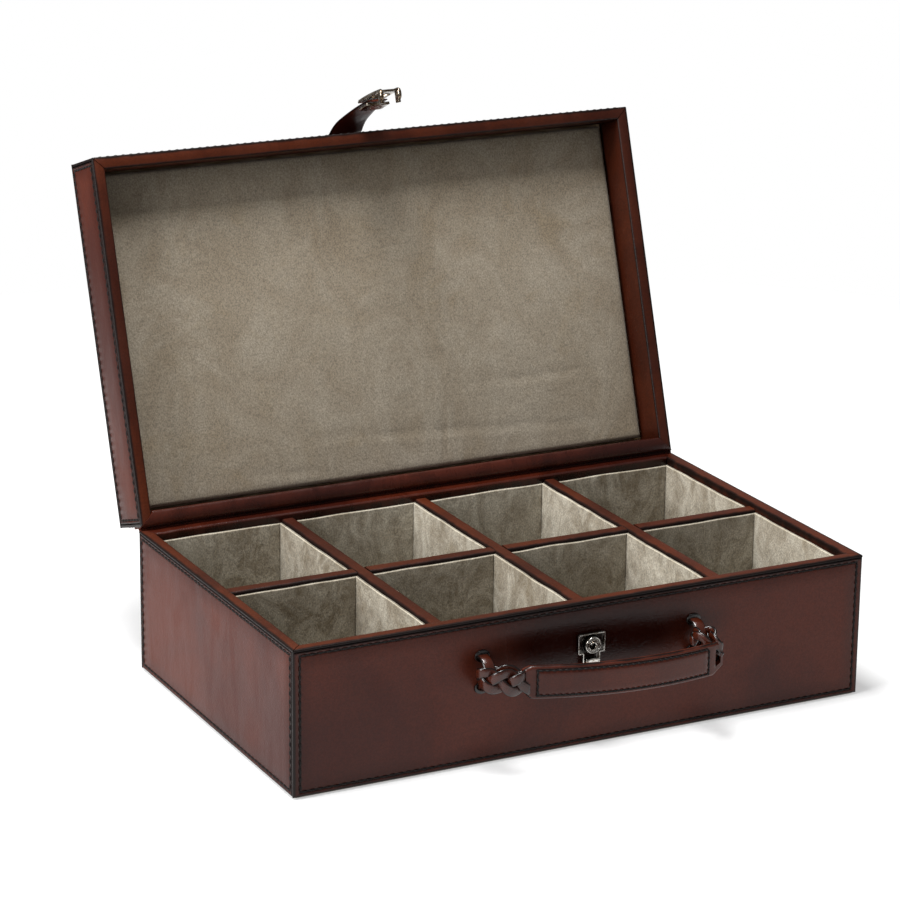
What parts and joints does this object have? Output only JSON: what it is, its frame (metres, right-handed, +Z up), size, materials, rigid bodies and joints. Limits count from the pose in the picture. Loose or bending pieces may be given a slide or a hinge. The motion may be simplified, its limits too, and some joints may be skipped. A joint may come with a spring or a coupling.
{
  "type": "watch box",
  "caption": "Leather-covered watch box with a hinged lid, suede-lined compartments, a plaited handle and a strap hasp that closes over a lock.",
  "frame": {"origin": "centre of the box's underside, on the surface that it stands on", "axes": "+X along the front to the right as the user faces the lock, -Y out of the front, +Z up"},
  "size_m": [0.36, 0.3525, 0.3254],
  "materials": {
    "leather_panel": "polished, hand-stained brown, with dark edges",
    "leather_rim": "polished red-brown",
    "leather_handle": "polished dark brown",
    "suede": "napped taupe suede",
    "wood_board": "plain board, hidden under the leather",
    "nickel": "polished nickel plate"
  },
  "bodies": {
    "base": {"base_front_leather": "leather_panel", "base_back_leather": "leather_panel", "base_left_leather": "leather_panel", "base_right_leather": "leather_panel", "hinge_strip_lower": "leather_panel", "base_rim_front": "leather_rim", "base_rim_left": "leather_rim", "base_rim_right": "leather_rim", "hinge_gusset_lower": "leather_rim", "long_divider": "leather_rim", "cross_divider_1": "leather_rim", "cross_divider_2": "leather_rim", "cross_divider_3": "leather_rim", "handle_staple_left": "leather_handle", "handle_staple_right": "leather_handle", "base_pad": "suede", "compartment_liner_1": "suede", "compartment_liner_2": "suede", "compartment_liner_3": "suede", "compartment_liner_4": "suede", "compartment_liner_5": "suede", "compartment_liner_6": "suede", "compartment_liner_7": "suede", "compartment_liner_8": "suede", "base_bottom_board": "wood_board", "base_front_wall": "wood_board", "base_back_wall": "wood_board", "base_left_wall": "wood_board", "base_right_wall": "wood_board", "lock_plate": "nickel", "lock_boss": "nickel"},
    "lid": {"lid_top_leather": "leather_panel", "lid_front_leather": "leather_panel", "lid_back_leather": "leather_panel", "lid_left_leather": "leather_panel", "lid_right_leather": "leather_panel", "lid_rim_front": "leather_rim", "lid_rim_left": "leather_rim", "lid_rim_right": "leather_rim", "lid_lining_pad": "suede", "lid_top_board": "wood_board", "lid_front_wall": "wood_board", "lid_back_wall": "wood_board", "lid_left_wall": "wood_board", "lid_right_wall": "wood_board", "hinge_gusset_upper": "leather_rim", "hinge_strip_upper": "leather_panel", "hasp_seat": "leather_handle"},
    "hasp": {"hasp_strap": "leather_handle", "hasp_plate": "nickel", "hasp_keeper": "nickel", "hasp_rivet_1": "nickel", "hasp_rivet_2": "nickel"},
    "handle": {"handle_grip": "leather_handle", "plait_left": "leather_handle", "plait_right": "leather_handle"},
    "lock_plug": {"lock_plug": "nickel"},
    "lock_catch": {"lock_catch": "nickel"}
  },
  "joints": [
    {"name": "lid_hinge", "type": "hinge", "parent": "base", "child": "lid", "pos_m": [0, 0.1081, 0.0884], "axis": [1, 0, 0], "range_deg": [0, 108.2]},
    {"name": "hasp_flex", "type": "hinge", "parent": "lid", "child": "hasp", "pos_m": [0, 0.20856, 0.28588], "axis": [1, 0, 0], "range_deg": [-45, 7], "stiffness_Nm_per_rad": 0.25},
    {"name": "handle_swing", "type": "hinge", "parent": "base", "child": "handle", "pos_m": [0, -0.1104, 0.0553], "axis": [1, 0, 0], "range_deg": [-35, 50]},
    {"name": "lock_turn", "type": "hinge", "parent": "base", "child": "lock_plug", "pos_m": [0, -0.1084, 0.0615], "axis": [0, 1, 0], "range_deg": [0, 90]},
    {"name": "lock_catch_slide", "type": "slide", "parent": "base", "child": "lock_catch", "axis": [0, 0, 1], "range_m": [-0.002, 0], "stiffness_N_per_m": 60}
  ]
}
